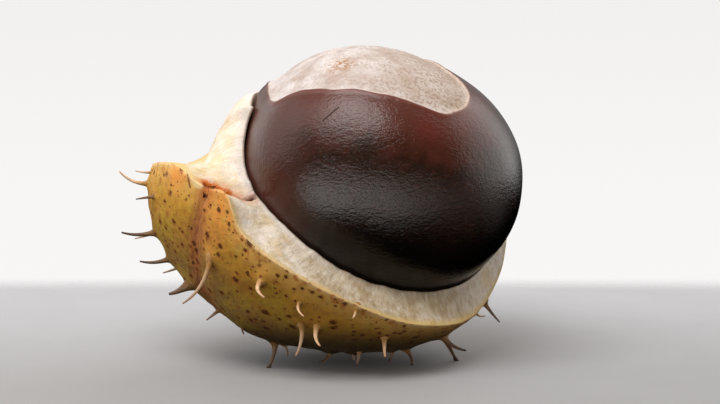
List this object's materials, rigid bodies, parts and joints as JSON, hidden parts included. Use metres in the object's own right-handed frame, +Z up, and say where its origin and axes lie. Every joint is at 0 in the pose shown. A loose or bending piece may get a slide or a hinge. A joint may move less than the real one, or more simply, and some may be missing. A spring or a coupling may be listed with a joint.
{
  "type": "buckeye in husk",
  "caption": "Glossy horse chestnut seed with a pale scar, lying in the open part of its thick, spiny green husk, which stands on its spine tips.",
  "frame": {"origin": "on the surface that the husk stands on, under the middle of the object's box", "axes": "+Z up, +X to the right as the open side is seen, so the stalk stub points to -X and the open front to -Y"},
  "size_m": [0.0526, 0.0484, 0.041],
  "materials": {
    "husk_skin": "matt yellow-green skin with brown specks and brown spine tips",
    "seed_coat": "glossy dark mahogany coat with fine grain"
  },
  "bodies": {
    "root": {"husk": "husk_skin", "seed": "seed_coat"}
  },
  "joints": []
}
